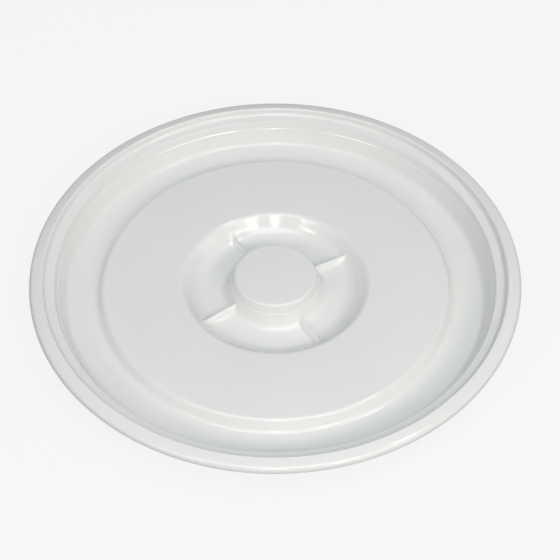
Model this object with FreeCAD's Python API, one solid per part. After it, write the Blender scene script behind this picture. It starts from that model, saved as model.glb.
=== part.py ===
import FreeCAD, Part
import math
import os

# Overlay lid of a plastic fermenting bucket: one thin moulded disc with a
# stepped plug, a raised centre field and a ribbed finger well, and a flat
# sealing ring seated under its rim.
# Origin: on the lid axis, in the lowest plane of the underside (the well floor),
# on which the lid stands.  +Z points up, out of the bucket.  Millimetres.

# ---- overall sizes -------------------------------------------------------
lid_diameter = 380.0
wall = 2.0
plug_depth = 27.6            # rim crown down to the floor of the outer trough

# ---- rim -----------------------------------------------------------------
rim_width = 10.7             # outer edge to inner edge of the rim band
rim_height = 6.8             # crown down to the lower edge of the lip
rim_fall = 2.4               # the band slopes down to the outside by this much
rim_outer_round = 4.3
rim_inner_round = 1.6
lip_wall = 2.0
lip_edge_round = 0.6
rim_wall = 0.9               # plastic over the sealing ring where the rim is thinnest

# ---- sealing ring --------------------------------------------------------
seal_width = 5.9
seal_thickness = 1.6
seal_edge_round = 0.4
seal_side_clearance = 0.2    # free play each side of the ring in its channel

# ---- gutter and plug wall ------------------------------------------------
gutter_depth = 6.2
gutter_draft = 0.7
gutter_fall = 0.9
gutter_width = 7.4
plug_wall_run = 7.4          # how far the plug wall leans in from its top to its foot
plug_step_drop = 6.1         # small step moulded in the plug wall, below its top
plug_step_width = 0.8
plug_step_fall = 0.9

# ---- outer trough and raised centre field --------------------------------
trough_width = 23.9
field_depth = 18.4
field_side_run = 5.2

# ---- finger well and centre boss -----------------------------------------
well_radius = 72.8
well_depth = 32.2
well_wall_run = 11.4
boss_radius = 32.0
boss_depth = 11.5
boss_wall_run = 6.9
boss_step_drop = 7.4         # small step moulded in the boss wall, below its top
boss_step_width = 0.6
boss_step_fall = 0.65

# ---- ribs across the well ------------------------------------------------
rib_count = 4
rib_angle = 32.0
rib_height_boss = 8.2        # crest over the well floor, at the boss
rib_height_well = 5.7        # crest over the well floor, at the well wall
rib_crest_round = 0.8
rib_base_half_width = 2.6
rib_root = 0.9               # how far a rib runs into the wall it joins
rib_blank_spare = 3.0        # how far the rib's blank stands over its crest

# ---- rounding of the bends in the outline --------------------------------
gutter_round = 3.2
spigot_end_round = 0.9
plug_top_round = 0.8
step_round = 0.7
plug_foot_round = 4.5
field_foot_round = 5.0
field_edge_round = 4.0
well_edge_round = 5.0
well_floor_round = 18.0
boss_foot_round = 6.5
boss_edge_round = 2.6
least_round = 0.5

# ---- derived values ------------------------------------------------------
lid_radius = lid_diameter / 2.0
channel_outer = lid_radius - lip_wall
channel_inner = channel_outer - seal_width - 2.0 * seal_side_clearance
spigot_radius = channel_inner
rim_inner = lid_radius - rim_width
crown = max(well_depth, plug_depth) + wall
seat = crown - rim_fall - rim_wall - seal_thickness
channel_roof = seat + seal_thickness
channel_round = seal_side_clearance + seal_edge_round
lip_bottom = crown - rim_height
gutter_outer = rim_inner - gutter_draft
plug_top_radius = gutter_outer - gutter_width
plug_top = crown - gutter_depth - gutter_fall
plug_foot_radius = plug_top_radius - plug_wall_run
trough_inner = plug_foot_radius - trough_width
field_radius = trough_inner - field_side_run
plug_floor = crown - plug_depth
step_top = plug_top - plug_step_drop
field_top = crown - field_depth
well_floor = crown - well_depth
boss_top = crown - boss_depth
boss_step_top = boss_top - boss_step_drop
crest_boss = well_floor + rib_height_boss
crest_well = well_floor + rib_height_well


def unit(dx, dz):
    size = math.hypot(dx, dz)
    return dx / size, dz / size


def point(r, z):
    return FreeCAD.Vector(r, 0.0, z)


def shifted(corners, distance):
    """Corners of the outline moved sideways by a distance, into the wall."""
    lines = []
    for first, second in zip(corners, corners[1:]):
        ux, uz = unit(second[0] - first[0], second[1] - first[1])
        lines.append((first[0] - uz * distance, first[1] + ux * distance, ux, uz))
    moved = []
    for i, (r, z, bend) in enumerate(corners):
        if i == 0:
            moved.append((lines[0][0], lines[0][1], 0.0))
            continue
        if i == len(corners) - 1:
            x, y, ux, uz = lines[-1]
            run = (r - x) / ux
            moved.append((r, y + uz * run, 0.0))
            continue
        x1, y1, ux1, uz1 = lines[i - 1]
        x2, y2, ux2, uz2 = lines[i]
        turn = ux1 * uz2 - uz1 * ux2
        run = ((x2 - x1) * uz2 - (y2 - y1) * ux2) / turn
        grown = bend - distance if turn > 0 else bend + distance
        moved.append((x1 + ux1 * run, y1 + uz1 * run, max(grown, least_round)))
    return moved


def rounded_face(corners):
    """Closed face from corners, each bend given as an arc of its own radius."""
    count = len(corners)
    trimmed = []
    for i, (r, z, bend) in enumerate(corners):
        before = corners[i - 1]
        after = corners[(i + 1) % count]
        ax, az = unit(before[0] - r, before[1] - z)
        bx, bz = unit(after[0] - r, after[1] - z)
        if bend <= 0.0:
            trimmed.append((point(r, z), None, point(r, z)))
            continue
        half = math.acos(max(-1.0, min(1.0, ax * bx + az * bz))) / 2.0
        setback = bend / math.tan(half)
        mx, mz = unit(ax + bx, az + bz)
        reach = bend / math.sin(half) - bend
        start = point(r + ax * setback, z + az * setback)
        middle = point(r + mx * reach, z + mz * reach)
        end = point(r + bx * setback, z + bz * setback)
        trimmed.append((start, middle, end))
    edges = []
    for i, (start, middle, end) in enumerate(trimmed):
        if middle is not None:
            edges.append(Part.Arc(start, middle, end).toShape())
        following = trimmed[(i + 1) % count][0]
        if end.distanceToPoint(following) > 1e-6:
            edges.append(Part.makeLine(end, following))
    return Part.Face(Part.Wire(edges))


def turned(face):
    axis_foot = FreeCAD.Vector(0.0, 0.0, 0.0)
    return face.revolve(axis_foot, FreeCAD.Vector(0.0, 0.0, 1.0), 360.0)


def on_line(first, second, z):
    share = (z - first[1]) / (second[1] - first[1])
    return first[0] + (second[0] - first[0]) * share


def step_on(upper, lower, z, width, fall):
    """Two corners of a small step in a sloping wall, centred on the wall."""
    middle = on_line(upper, lower, z)
    first = (middle - width / 2.0, z, step_round)
    second = (middle + width / 2.0, z - fall, step_round)
    return [first, second]


# ---- outline of the moulding ---------------------------------------------
rim_corners = [
    (lid_radius, lip_bottom, lip_edge_round),
    (lid_radius, crown - rim_fall, rim_outer_round),
    (rim_inner, crown, rim_inner_round),
    (gutter_outer, crown - gutter_depth, gutter_round),
]
foot_corner = (plug_foot_radius, plug_floor, plug_foot_round)
plug_corner = (plug_top_radius, plug_top, plug_top_round)
plug_step = step_on(plug_corner, foot_corner, step_top, -plug_step_width, plug_step_fall)
field_corners = [
    foot_corner,
    (trough_inner, plug_floor, field_foot_round),
    (field_radius, field_top, field_edge_round),
    (well_radius, field_top, well_edge_round),
    (well_radius - well_wall_run, well_floor, well_floor_round),
]
boss_foot = (boss_radius + boss_wall_run, well_floor, boss_foot_round)
boss_edge = (boss_radius, boss_top, boss_edge_round)
boss_middle = (0.0, boss_top, 0.0)
boss_step = step_on(boss_edge, boss_foot, boss_step_top, boss_step_width, boss_step_fall)
top_corners = rim_corners + [plug_corner] + plug_step + field_corners
top_corners = top_corners + [boss_foot] + boss_step[::-1] + [boss_edge, boss_middle]

# The underside follows the top at one wall thickness, without the small steps.
core_corners = [
    (spigot_radius - wall, crown, 0.0),
    (spigot_radius - wall, crown - gutter_depth, gutter_round),
    plug_corner,
] + field_corners + [boss_foot, boss_edge, boss_middle]
under_corners = shifted(core_corners, wall)
under_corners[0] = (spigot_radius, channel_roof, channel_round)
under_corners[1] = under_corners[1][:2] + (spigot_end_round,)
channel_corners = [
    (channel_outer, channel_roof, channel_round),
    (channel_outer, lip_bottom, lip_edge_round),
]
outline = top_corners + under_corners[::-1] + channel_corners
lid = turned(rounded_face(outline))

# ---- ribs ----------------------------------------------------------------
well_edge = (well_radius, field_top)
well_foot = (well_radius - well_wall_run, well_floor)
rib_low = well_floor - rib_root
start_r = on_line(boss_foot, boss_edge, crest_boss) - rib_root
end_r = on_line(well_foot, well_edge, crest_well) + rib_root
side = [
    (start_r, crest_boss + rib_blank_spare, 0.0),
    (end_r, crest_well + rib_blank_spare, 0.0),
    (end_r, crest_well, 0.0),
    (well_foot[0], rib_low, 0.0),
    (boss_foot[0], rib_low, 0.0),
    (start_r, crest_boss, 0.0),
]
plate = rounded_face(side).extrude(FreeCAD.Vector(0.0, 4.0 * rib_base_half_width, 0.0))
plate.translate(FreeCAD.Vector(0.0, -2.0 * rib_base_half_width, 0.0))

crest_drop = crest_well - crest_boss
rib_height = crest_boss - rib_low
crest_start = FreeCAD.Vector(start_r, 0.0, crest_boss)
crest_run = FreeCAD.Vector(end_r - start_r, 0.0, crest_drop)


def crest_point(y, down):
    return crest_start + FreeCAD.Vector(0.0, y, -down)


shoulder = rib_crest_round
section = Part.Wire([
    Part.Arc(
        crest_point(-shoulder, shoulder),
        crest_point(0.0, 0.0),
        crest_point(shoulder, shoulder),
    ).toShape(),
    Part.makeLine(crest_point(shoulder, shoulder), crest_point(rib_base_half_width, rib_height)),
    Part.makeLine(
        crest_point(rib_base_half_width, rib_height),
        crest_point(-rib_base_half_width, rib_height),
    ),
    Part.makeLine(crest_point(-rib_base_half_width, rib_height), crest_point(-shoulder, shoulder)),
])
ridge = Part.Face(section).extrude(crest_run)
rib = plate.common(ridge)
for i in range(rib_count):
    placed = rib.copy()
    angle = rib_angle + i * 360.0 / rib_count
    placed.rotate(FreeCAD.Vector(0.0, 0.0, 0.0), FreeCAD.Vector(0.0, 0.0, 1.0), angle)
    lid = lid.fuse(placed)
lid = lid.removeSplitter()

# ---- sealing ring --------------------------------------------------------
seal_outer = channel_outer - seal_side_clearance
seal_inner = seal_outer - seal_width
seal = turned(rounded_face([
    (seal_outer, seat, seal_edge_round),
    (seal_outer, channel_roof, seal_edge_round),
    (seal_inner, channel_roof, seal_edge_round),
    (seal_inner, seat, seal_edge_round),
]))

# ---- files ---------------------------------------------------------------
os.makedirs("parts", exist_ok=True)
for name, shape in (("lid", lid), ("sealing_ring", seal)):
    solid = shape.Solids[0]
    print(name, shape.isValid(), len(shape.Solids), round(shape.Volume, 1), shape.BoundBox)
    solid.exportStep("parts/" + name + ".step")
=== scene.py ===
import math

import bpy
from mathutils import Euler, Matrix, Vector


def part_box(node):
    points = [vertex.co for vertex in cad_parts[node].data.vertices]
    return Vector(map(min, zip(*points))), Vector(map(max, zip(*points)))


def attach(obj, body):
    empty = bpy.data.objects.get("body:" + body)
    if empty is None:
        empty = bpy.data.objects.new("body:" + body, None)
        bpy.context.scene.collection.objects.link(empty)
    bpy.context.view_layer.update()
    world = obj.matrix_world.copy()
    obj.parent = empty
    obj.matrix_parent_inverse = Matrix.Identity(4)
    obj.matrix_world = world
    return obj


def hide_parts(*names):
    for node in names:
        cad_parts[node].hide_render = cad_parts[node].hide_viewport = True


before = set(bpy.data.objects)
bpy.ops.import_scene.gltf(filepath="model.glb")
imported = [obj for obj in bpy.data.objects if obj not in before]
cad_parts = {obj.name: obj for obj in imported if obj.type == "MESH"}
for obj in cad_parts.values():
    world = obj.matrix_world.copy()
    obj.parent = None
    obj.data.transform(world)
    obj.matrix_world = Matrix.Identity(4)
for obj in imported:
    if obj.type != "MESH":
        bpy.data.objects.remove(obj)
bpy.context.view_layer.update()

# The overlay lid of a fermenting bucket: one glossy moulding with a stepped plug wall,
# a raised centre field, a finger well round a boss and four ribs across the well,
# and the soft sealing ring that sits in the channel under its rim.
# Lengths are in metres, and heights are worked out down from the rim's crown.

MM = 0.001

lid_low, lid_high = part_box("lid")
ring_low, ring_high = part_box("sealing_ring")

LID_RADIUS = lid_high.x
WALL = 2.0 * MM
WELL_DEPTH = 32.2 * MM
CROWN = lid_low.z + WELL_DEPTH + WALL
SEAT = ring_low.z
CHANNEL_ROOF = ring_high.z
CHANNEL_PLAY = 0.2 * MM
SEAL_WIDTH = 5.9 * MM
SEAL_EDGE_ROUND = 0.4 * MM
CHANNEL_ROUND = CHANNEL_PLAY + SEAL_EDGE_ROUND

# rim and the gutter inside it
RIM_WIDTH = 10.7 * MM
RIM_FALL = 2.4 * MM
LIP_WALL = 2.0 * MM
LIP_BOTTOM = CROWN - 6.8 * MM
LIP_EDGE_ROUND = 0.6 * MM
RIM_OUTER_ROUND = 4.3 * MM
RIM_INNER_ROUND = 1.6 * MM
GUTTER_DEPTH = 6.2 * MM
GUTTER_DRAFT = 0.7 * MM
GUTTER_WIDTH = 7.4 * MM
GUTTER_FALL = 0.9 * MM
GUTTER_ROUND = 3.2 * MM
SPIGOT_END_ROUND = 0.9 * MM

# plug wall, outer trough and centre field
PLUG_FOOT_RADIUS = 163.8 * MM
PLUG_FLOOR = CROWN - 27.6 * MM
PLUG_STEP_TOP = CROWN - 13.2 * MM
PLUG_STEP_WIDTH = 0.8 * MM
PLUG_STEP_FALL = 0.9 * MM
PLUG_TOP_ROUND = 0.8 * MM
PLUG_FOOT_ROUND = 4.5 * MM
FIELD_RADIUS = 134.7 * MM
FIELD_SIDE_RUN = 5.2 * MM
FIELD_TOP = CROWN - 18.4 * MM
FIELD_FOOT_ROUND = 5.0 * MM
FIELD_EDGE_ROUND = 4.0 * MM

# finger well and boss
WELL_RADIUS = 72.8 * MM
WELL_WALL_RUN = 11.4 * MM
WELL_FLOOR = CROWN - WELL_DEPTH
WELL_EDGE_ROUND = 5.0 * MM
WELL_FLOOR_ROUND = 18.0 * MM
BOSS_RADIUS = 32.0 * MM
BOSS_WALL_RUN = 6.9 * MM
BOSS_TOP = CROWN - 11.5 * MM
BOSS_STEP_TOP = CROWN - 18.9 * MM
BOSS_STEP_WIDTH = 0.6 * MM
BOSS_STEP_FALL = 0.65 * MM
BOSS_FOOT_ROUND = 6.5 * MM
BOSS_EDGE_ROUND = 2.6 * MM
STEP_ROUND = 0.7 * MM
LEAST_ROUND = 0.5 * MM

# ribs across the well
RIB_COUNT = 4
RIB_ANGLE = math.radians(32.0)
RIB_START = 34.0 * MM
RIB_END = 66.0 * MM
RIB_START_HEIGHT = CROWN - 24.0 * MM
RIB_END_HEIGHT = CROWN - 26.5 * MM
RIB_CREST_ROUND = 0.8 * MM
RIB_SIDE_SLOPE = 4.6
RIB_BLEND = 3.0 * MM

# how finely the round shapes are divided
TOP_ARC_STEP = math.radians(9.0)
UNDER_ARC_STEP = math.radians(14.0)
WELL_RUN = 0.9 * MM
RIB_SECTOR = math.radians(14.0)
RIB_SECTOR_STEPS = 34
PLAIN_SECTOR_STEPS = 62
RING_STEPS = 240
WELD_DISTANCE = 0.002 * MM
ON_SURFACE = 0.2 * MM


# ---- outlines --------------------------------------------------------------

def arc_points(before, corner, after, rounding, turn_step):
    """Points of the arc that rounds a corner between two straight runs."""
    here = Vector(corner)
    to_last = (Vector(before) - here).normalized()
    to_next = (Vector(after) - here).normalized()
    half = to_last.angle(to_next) / 2.0
    setback = rounding / math.tan(half)
    centre = here + (to_last + to_next).normalized() * (rounding / math.sin(half))
    start = here + to_last * setback - centre
    end = here + to_next * setback - centre
    start_angle = math.atan2(start.y, start.x)
    sweep = math.atan2(end.y, end.x) - start_angle
    sweep = (sweep + math.pi) % (2.0 * math.pi) - math.pi
    steps = max(2, math.ceil(abs(sweep) / turn_step))
    points = []
    for k in range(steps + 1):
        angle = start_angle + sweep * k / steps
        points.append(centre + Vector((math.cos(angle), math.sin(angle))) * rounding)
    return points


def rounded(corners, which, turn_step):
    """Outline past some of the corners, each (radius, height, rounding)."""
    points = []
    for i in which:
        r, z, rounding = corners[i]
        if rounding <= 0.0:
            points.append(Vector((r, z)))
            continue
        before = corners[i - 1][:2]
        after = corners[(i + 1) % len(corners)][:2]
        points.extend(arc_points(before, (r, z), after, rounding, turn_step))
    return points


def divided(points, longest, low_radius, high_radius):
    """The same outline with its runs between two radii cut into short ones."""
    result = [points[0]]
    for last, here in zip(points, points[1:]):
        middle = (last.x + here.x) / 2.0
        parts = 1
        if low_radius < middle < high_radius:
            parts = max(1, math.ceil((here - last).length / longest))
        for k in range(1, parts + 1):
            result.append(last.lerp(here, k / parts))
    return result


def shifted(corners, distance):
    """Corners moved sideways by one wall thickness, for the underside."""
    lines = []
    for (r1, z1, _), (r2, z2, _) in zip(corners, corners[1:]):
        along = Vector((r2 - r1, z2 - z1)).normalized()
        foot = Vector((r1, z1)) + Vector((-along.y, along.x)) * distance
        lines.append((foot, along))
    moved = [(lines[0][0].x, lines[0][0].y, 0.0)]
    for i in range(1, len(corners) - 1):
        foot, along = lines[i - 1]
        next_foot, next_along = lines[i]
        gap = next_foot - foot
        turn = along.x * next_along.y - along.y * next_along.x
        run = (gap.x * next_along.y - gap.y * next_along.x) / turn
        here = foot + along * run
        rounding = corners[i][2]
        grown = rounding - distance if turn > 0.0 else rounding + distance
        moved.append((here.x, here.y, max(grown, LEAST_ROUND)))
    foot, along = lines[-1]
    end = corners[-1][0]
    moved.append((end, foot.y + along.y * (end - foot.x) / along.x, 0.0))
    return moved


def step_in_wall(upper, lower, height, width, fall):
    """Two corners of a small step moulded in a sloping wall."""
    share = (height - upper[1]) / (lower[1] - upper[1])
    middle = upper[0] + (lower[0] - upper[0]) * share
    first = (middle - width / 2.0, height, STEP_ROUND)
    second = (middle + width / 2.0, height - fall, STEP_ROUND)
    return [first, second]


def lid_outline():
    """Top and underside of the moulding, from the middle of the boss out to the lip and back."""
    channel_outer = LID_RADIUS - LIP_WALL
    spigot_radius = channel_outer - SEAL_WIDTH - 2.0 * CHANNEL_PLAY
    rim_inner = LID_RADIUS - RIM_WIDTH
    gutter_outer = rim_inner - GUTTER_DRAFT
    gutter_floor = CROWN - GUTTER_DEPTH

    rim = [
        (LID_RADIUS, LIP_BOTTOM, LIP_EDGE_ROUND),
        (LID_RADIUS, CROWN - RIM_FALL, RIM_OUTER_ROUND),
        (rim_inner, CROWN, RIM_INNER_ROUND),
        (gutter_outer, gutter_floor, GUTTER_ROUND),
    ]
    plug_edge = (gutter_outer - GUTTER_WIDTH, gutter_floor - GUTTER_FALL, PLUG_TOP_ROUND)
    plug_foot = (PLUG_FOOT_RADIUS, PLUG_FLOOR, PLUG_FOOT_ROUND)
    plug_step = step_in_wall(plug_edge, plug_foot, PLUG_STEP_TOP, -PLUG_STEP_WIDTH, PLUG_STEP_FALL)
    field_and_well = [
        plug_foot,
        (FIELD_RADIUS + FIELD_SIDE_RUN, PLUG_FLOOR, FIELD_FOOT_ROUND),
        (FIELD_RADIUS, FIELD_TOP, FIELD_EDGE_ROUND),
        (WELL_RADIUS, FIELD_TOP, WELL_EDGE_ROUND),
        (WELL_RADIUS - WELL_WALL_RUN, WELL_FLOOR, WELL_FLOOR_ROUND),
    ]
    boss_foot = (BOSS_RADIUS + BOSS_WALL_RUN, WELL_FLOOR, BOSS_FOOT_ROUND)
    boss_edge = (BOSS_RADIUS, BOSS_TOP, BOSS_EDGE_ROUND)
    boss_middle = (0.0, BOSS_TOP, 0.0)
    boss_step = step_in_wall(boss_edge, boss_foot, BOSS_STEP_TOP, BOSS_STEP_WIDTH, BOSS_STEP_FALL)
    top = rim + [plug_edge] + plug_step + field_and_well
    top += [boss_foot] + boss_step[::-1] + [boss_edge, boss_middle]

    spigot_wall = spigot_radius - WALL
    core = [(spigot_wall, CROWN, 0.0), (spigot_wall, gutter_floor, GUTTER_ROUND), plug_edge]
    core += field_and_well + [boss_foot, boss_edge, boss_middle]
    under = shifted(core, WALL)
    under[0] = (spigot_radius, CHANNEL_ROOF, CHANNEL_ROUND)
    under[1] = under[1][:2] + (SPIGOT_END_ROUND,)
    channel = [
        (channel_outer, LIP_BOTTOM, LIP_EDGE_ROUND),
        (channel_outer, CHANNEL_ROOF, CHANNEL_ROUND),
    ]

    whole = top[::-1] + channel + under
    top_points = rounded(whole, range(len(top)), TOP_ARC_STEP)
    under_points = rounded(whole, range(len(top), len(whole)), UNDER_ARC_STEP)
    return divided(top_points, WELL_RUN, RIB_START, WELL_RADIUS), under_points


def ring_outline():
    """Section of the sealing strip, closed on itself."""
    outer = LID_RADIUS - LIP_WALL - CHANNEL_PLAY
    inner = outer - SEAL_WIDTH
    corners = [
        (outer, SEAT, SEAL_EDGE_ROUND),
        (outer, CHANNEL_ROOF, SEAL_EDGE_ROUND),
        (inner, CHANNEL_ROOF, SEAL_EDGE_ROUND),
        (inner, SEAT, SEAL_EDGE_ROUND),
    ]
    points = rounded(corners, range(len(corners)), UNDER_ARC_STEP)
    return points + [points[0]]


# ---- turning an outline into a piece ---------------------------------------

def deselect_everything():
    if bpy.context.object and bpy.context.object.mode != "OBJECT":
        bpy.ops.object.mode_set(mode="OBJECT")
    bpy.ops.object.select_all(action="DESELECT")


def draw_outline(name, points, angle):
    """A new piece, left in edit mode, that is an outline in the upright plane at an angle."""
    side = Vector((math.cos(angle), math.sin(angle), 0.0))
    upright = Vector((0.0, 0.0, 1.0))
    start = side * points[0].x + upright * points[0].y
    deselect_everything()
    bpy.ops.mesh.primitive_plane_add(size=MM, location=(0.0, 0.0, 0.0))
    piece = bpy.context.object
    piece.name = name
    piece.data.name = name
    bpy.ops.object.mode_set(mode="EDIT")
    bpy.ops.mesh.select_all(action="SELECT")
    bpy.ops.mesh.merge(type="CENTER")
    bpy.ops.transform.translate(value=start)
    for last, here in zip(points, points[1:]):
        move = side * (here.x - last.x) + upright * (here.y - last.y)
        bpy.ops.mesh.extrude_vertices_move(TRANSFORM_OT_translate={"value": move})
    bpy.ops.mesh.select_all(action="SELECT")
    return piece


def turn_outline(sectors):
    """Spins the selected outline about the lid's axis, one (angle, steps) after another."""
    for angle, steps in sectors:
        bpy.ops.mesh.spin(steps=steps, angle=angle, center=(0.0, 0.0, 0.0), axis=(0.0, 0.0, 1.0))
    bpy.ops.mesh.select_all(action="SELECT")
    bpy.ops.mesh.remove_doubles(threshold=WELD_DISTANCE)
    bpy.ops.mesh.normals_make_consistent(inside=False)
    bpy.ops.object.mode_set(mode="OBJECT")
    bpy.ops.object.shade_smooth()


# ---- ribs ------------------------------------------------------------------

def height_on(points, r):
    """Height of the moulding's top at a radius in the well."""
    for last, here in zip(points, points[1:]):
        if last.x <= r <= here.x:
            share = (r - last.x) / max(here.x - last.x, 1e-9)
            return last.y + (here.y - last.y) * share
    return points[-1].y


def rib_height(along, across):
    """Height of a rib's surface at a place along it and across it."""
    share = (along - RIB_START) / (RIB_END - RIB_START)
    crest = RIB_START_HEIGHT + (RIB_END_HEIGHT - RIB_START_HEIGHT) * share
    on_crest = min(across, RIB_CREST_ROUND)
    drop = RIB_CREST_ROUND - math.sqrt(RIB_CREST_ROUND ** 2 - on_crest ** 2)
    return crest - drop - RIB_SIDE_SLOPE * (across - on_crest)


def blended_higher(a, b, blend):
    """The higher of two surfaces, with a soft fillet where they meet."""
    share = min(max(0.5 + 0.5 * (a - b) / blend, 0.0), 1.0)
    return b + (a - b) * share + blend * share * (1.0 - share)


def raise_ribs(piece, top_points):
    """Lifts the well's surface into ribs that run from the boss to the well's wall."""
    quarter = 2.0 * math.pi / RIB_COUNT
    well = [p for p in top_points if RIB_START * 0.9 < p.x < WELL_RADIUS]
    for vertex in piece.data.vertices:
        r = math.hypot(vertex.co.x, vertex.co.y)
        if not RIB_START < r < WELL_RADIUS:
            continue
        surface = height_on(well, r)
        if abs(vertex.co.z - surface) > ON_SURFACE:
            continue
        turn = math.atan2(vertex.co.y, vertex.co.x) - RIB_ANGLE
        turn = (turn + quarter / 2.0) % quarter - quarter / 2.0
        if abs(turn) > RIB_SECTOR / 2.0:
            continue
        rib = rib_height(r * math.cos(turn), abs(r * math.sin(turn)))
        vertex.co.z = blended_higher(surface, rib, RIB_BLEND)
    piece.data.update()


def lid_moulding():
    top_points, under_points = lid_outline()
    piece = draw_outline("lid_moulding", top_points + under_points, RIB_ANGLE - RIB_SECTOR / 2.0)
    plain_sector = 2.0 * math.pi / RIB_COUNT - RIB_SECTOR
    turn_outline([(RIB_SECTOR, RIB_SECTOR_STEPS), (plain_sector, PLAIN_SECTOR_STEPS)] * RIB_COUNT)
    raise_ribs(piece, top_points)
    return piece


def sealing_strip():
    piece = draw_outline("sealing_strip", ring_outline(), 0.0)
    turn_outline([(2.0 * math.pi, RING_STEPS)])
    return piece


# ---- finishes --------------------------------------------------------------

class Finish:
    """A procedural material, built node by node on Object coordinates."""

    def __init__(self, name):
        self.material = bpy.data.materials.new(name)
        self.material.use_nodes = True
        self.tree = self.material.node_tree
        self.shader = self.tree.nodes["Principled BSDF"]
        self.place = self.node("ShaderNodeTexCoord").outputs["Object"]

    def node(self, kind, **settings):
        made = self.tree.nodes.new(kind)
        for key, value in settings.items():
            setattr(made, key, value)
        return made

    def link(self, source, target):
        self.tree.links.new(source, target)

    def noise(self, scale, detail, stretch=(1.0, 1.0, 1.0), turn=0.0):
        """Noise whose cells are 1 / scale metres wide."""
        mapping = self.node("ShaderNodeMapping")
        mapping.inputs["Scale"].default_value = stretch
        mapping.inputs["Rotation"].default_value = (0.0, 0.0, turn)
        self.link(self.place, mapping.inputs["Vector"])
        noise = self.node("ShaderNodeTexNoise")
        noise.inputs["Scale"].default_value = scale
        noise.inputs["Detail"].default_value = detail
        self.link(mapping.outputs["Vector"], noise.inputs["Vector"])
        return noise.outputs["Fac"]

    def ranged(self, value, from_low, from_high, to_low, to_high):
        node = self.node("ShaderNodeMapRange")
        node.inputs["From Min"].default_value = from_low
        node.inputs["From Max"].default_value = from_high
        node.inputs["To Min"].default_value = to_low
        node.inputs["To Max"].default_value = to_high
        self.link(value, node.inputs["Value"])
        return node.outputs["Result"]

    def added(self, first, second):
        node = self.node("ShaderNodeMath", operation="ADD")
        self.link(first, node.inputs[0])
        self.link(second, node.inputs[1])
        return node.outputs["Value"]

    def mixed(self, share, first, second):
        node = self.node("ShaderNodeMix", data_type="RGBA")
        node.inputs["A"].default_value = (*first, 1.0)
        node.inputs["B"].default_value = (*second, 1.0)
        self.link(share, node.inputs["Factor"])
        return node.outputs["Result"]

    def bump(self, height, distance, strength, before=None):
        node = self.node("ShaderNodeBump")
        node.inputs["Strength"].default_value = strength
        node.inputs["Distance"].default_value = distance
        self.link(height, node.inputs["Height"])
        if before is not None:
            self.link(before, node.inputs["Normal"])
        return node.outputs["Normal"]


WHITE_DULLER = (0.80, 0.81, 0.785)
WHITE_PALER = (0.82, 0.83, 0.805)
RUBBER_DARKER = (0.50, 0.50, 0.47)
RUBBER_PALER = (0.58, 0.58, 0.55)


def gloss_white_plastic():
    """Injection moulded plastic: white, glossy, faintly uneven, with fine hairlines."""
    finish = Finish("gloss_white_plastic")
    cloudy = finish.ranged(finish.noise(14.0, 3.0), 0.3, 0.7, 0.0, 1.0)
    colour = finish.mixed(cloudy, WHITE_DULLER, WHITE_PALER)
    finish.link(colour, finish.shader.inputs["Base Color"])

    handled = finish.ranged(finish.noise(22.0, 5.0), 0.35, 0.75, 0.08, 0.14)
    hairlines = finish.noise(260.0, 2.0, stretch=(1.0, 0.03, 1.0), turn=0.6)
    scratched = finish.ranged(hairlines, 0.72, 0.80, 0.0, 0.06)
    finish.link(finish.added(handled, scratched), finish.shader.inputs["Roughness"])

    flow = finish.bump(finish.noise(18.0, 1.0), 0.15 * MM, 0.5)
    grain = finish.bump(finish.noise(900.0, 2.0), 0.004 * MM, 0.5, before=flow)
    finish.link(grain, finish.shader.inputs["Normal"])
    return finish.material


def soft_elastomer():
    """Food-grade sealing strip: matte, finely pitted, with a dusty bloom."""
    finish = Finish("soft_elastomer")
    bloom = finish.ranged(finish.noise(60.0, 4.0), 0.35, 0.7, 0.0, 1.0)
    colour = finish.mixed(bloom, RUBBER_DARKER, RUBBER_PALER)
    finish.link(colour, finish.shader.inputs["Base Color"])
    rough = finish.ranged(finish.noise(120.0, 3.0), 0.3, 0.7, 0.55, 0.75)
    finish.link(rough, finish.shader.inputs["Roughness"])
    finish.link(finish.bump(finish.noise(1400.0, 2.0), 0.03 * MM, 0.6), finish.shader.inputs["Normal"])
    return finish.material


def dress(piece, material):
    piece.data.materials.clear()
    piece.data.materials.append(material)
    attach(piece, "root")


# ---- studio ----------------------------------------------------------------

FLOOR_SIZE = 8.0
FLOOR_GREY = (0.10, 0.10, 0.10, 1.0)
WHITE = (1.0, 1.0, 1.0, 1.0)
FLOOR_GLOW = 0.84        # as it is seen
FLOOR_BOUNCE = 0.28      # as it lights the lid from below
BACKDROP_GLOW = 0.92
ROOM_LIGHT = 0.268
ROOM_COLOUR = (0.98, 1.0, 1.05)
ROOM_DARK_UP_TO = 0.5    # dark below the horizon
ROOM_FULL_FROM = 0.6     # full light from a little above it
LAMP_DISTANCE = 2.0
LAMP_AIM = Vector((0.0, 0.0, CROWN - 10.0 * MM))


def pale_floor():
    """Large pale floor that looks evenly lit but throws less light up under the rim."""
    deselect_everything()
    bpy.ops.mesh.primitive_plane_add(size=FLOOR_SIZE, location=(0.0, 0.0, lid_low.z))
    floor = bpy.context.object
    floor.name = "floor"
    material = bpy.data.materials.new("pale_floor")
    material.use_nodes = True
    shader = material.node_tree.nodes["Principled BSDF"]
    shader.inputs["Base Color"].default_value = FLOOR_GREY
    shader.inputs["Roughness"].default_value = 1.0
    shader.inputs["Specular IOR Level"].default_value = 0.0
    shader.inputs["Emission Color"].default_value = WHITE
    tree = material.node_tree
    seen = tree.nodes.new("ShaderNodeLightPath")
    glow = tree.nodes.new("ShaderNodeMapRange")
    glow.inputs["To Min"].default_value = FLOOR_BOUNCE
    glow.inputs["To Max"].default_value = FLOOR_GLOW
    tree.links.new(seen.outputs["Is Camera Ray"], glow.inputs["Value"])
    tree.links.new(glow.outputs["Result"], shader.inputs["Emission Strength"])
    floor.data.materials.append(material)


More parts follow.
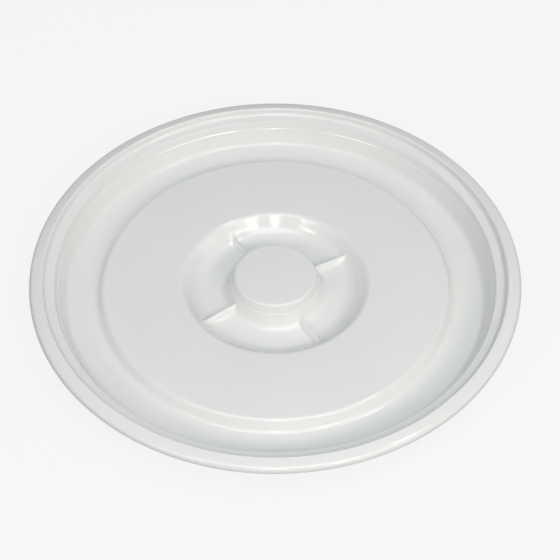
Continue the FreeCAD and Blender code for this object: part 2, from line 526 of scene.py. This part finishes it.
NEUTRAL = (1.0, 1.0, 0.97)
COOL = (0.95, 1.0, 1.06)
SKY = (0.86, 0.95, 1.18)
WARM = (1.10, 1.0, 0.88)


def softbox(name, azimuth, elevation, width, height, watts, colour):
    """Area light aimed at the lid. Azimuth turns from the camera's side towards +X."""
    turn = math.radians(azimuth)
    rise = math.radians(elevation)
    level = math.cos(rise)
    direction = Vector((level * math.sin(turn), -level * math.cos(turn), math.sin(rise)))
    light = bpy.data.lights.new(name, "AREA")
    light.shape = "RECTANGLE"
    light.size = width
    light.size_y = height
    light.energy = watts
    light.color = colour
    lamp = bpy.data.objects.new(name, light)
    bpy.context.scene.collection.objects.link(lamp)
    lamp.location = LAMP_AIM + direction * LAMP_DISTANCE
    lamp.rotation_euler = (-direction).to_track_quat("-Z", "Y").to_euler()


def soft_room():
    """Even light from above the horizon, and a pale backdrop where the room itself is seen."""
    world = bpy.data.worlds.new("soft_room")
    bpy.context.scene.world = world
    world.use_nodes = True
    tree = world.node_tree
    background = tree.nodes["Background"]
    background.inputs["Strength"].default_value = ROOM_LIGHT
    backdrop = tree.nodes.new("ShaderNodeBackground")
    backdrop.inputs["Strength"].default_value = BACKDROP_GLOW
    backdrop.inputs["Color"].default_value = WHITE
    seen = tree.nodes.new("ShaderNodeLightPath")
    chosen = tree.nodes.new("ShaderNodeMixShader")
    tree.links.new(seen.outputs["Is Camera Ray"], chosen.inputs["Fac"])
    tree.links.new(background.outputs["Background"], chosen.inputs[1])
    tree.links.new(backdrop.outputs["Background"], chosen.inputs[2])
    tree.links.new(chosen.outputs["Shader"], tree.nodes["World Output"].inputs["Surface"])
    place = tree.nodes.new("ShaderNodeTexCoord")
    parts = tree.nodes.new("ShaderNodeSeparateXYZ")
    height = tree.nodes.new("ShaderNodeMapRange")
    height.inputs["From Min"].default_value = -1.0
    ramp = tree.nodes.new("ShaderNodeValToRGB")
    tree.links.new(place.outputs["Generated"], parts.inputs["Vector"])
    tree.links.new(parts.outputs["Z"], height.inputs["Value"])
    tree.links.new(height.outputs["Result"], ramp.inputs["Fac"])
    tree.links.new(ramp.outputs["Color"], background.inputs["Color"])
    dark, full = ramp.color_ramp.elements
    dark.position = ROOM_DARK_UP_TO
    dark.color = (0.0, 0.0, 0.0, 1.0)
    full.position = ROOM_FULL_FROM
    full.color = (*ROOM_COLOUR, 1.0)


CAMERA_ELEVATION = math.radians(48.47)
CAMERA_DISTANCE = 1.150
CAMERA_AIM = Vector((3.7 * MM, -16.1 * MM, CROWN))
CAMERA_LENS = 96.43
CAMERA_SENSOR = 36.0


def camera():
    """Looks down at the lid from the front, from a little over a metre away."""
    lens = bpy.data.cameras.new("camera")
    lens.sensor_width = CAMERA_SENSOR
    lens.lens = CAMERA_LENS
    placed = bpy.data.objects.new("camera", lens)
    bpy.context.scene.collection.objects.link(placed)
    away = Vector((0.0, -math.cos(CAMERA_ELEVATION), math.sin(CAMERA_ELEVATION)))
    placed.location = CAMERA_AIM + away * CAMERA_DISTANCE
    placed.rotation_euler = Euler((math.pi / 2.0 - CAMERA_ELEVATION, 0.0, 0.0))
    bpy.context.scene.camera = placed


lid = lid_moulding()
dress(lid, gloss_white_plastic())
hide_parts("lid")

strip = sealing_strip()
dress(strip, soft_elastomer())
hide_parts("sealing_ring")

pale_floor()
soft_room()
softbox("overhead", 0.0, 64.0, 1.6, 0.9, 12.1, COOL)
softbox("front_strip", 0.0, 50.0, 1.0, 0.28, 2.8, SKY)
softbox("front_tube", 0.0, 42.0, 0.10, 0.5, 1.8, NEUTRAL)
softbox("front_low", 0.0, 34.0, 0.35, 0.28, 1.6, WARM)
softbox("right_window", 30.0, 37.0, 0.45, 0.4, 4.7, WARM)
softbox("right_window_edge", 50.0, 35.0, 0.5, 0.35, 2.7, WARM)
softbox("left_window", -41.0, 35.0, 0.6, 0.26, 3.1, WARM)
softbox("left_fill", -60.0, 16.0, 0.9, 0.5, 1.2, NEUTRAL)
softbox("right_fill", 80.0, 16.0, 1.2, 0.5, 1.8, NEUTRAL)
softbox("back_fill", 135.0, 14.0, 1.4, 0.7, 0.6, COOL)
softbox("key", 84.0, 65.0, 0.26, 0.26, 4.0, NEUTRAL)
camera()
bpy.context.scene.view_settings.view_transform = "Standard"
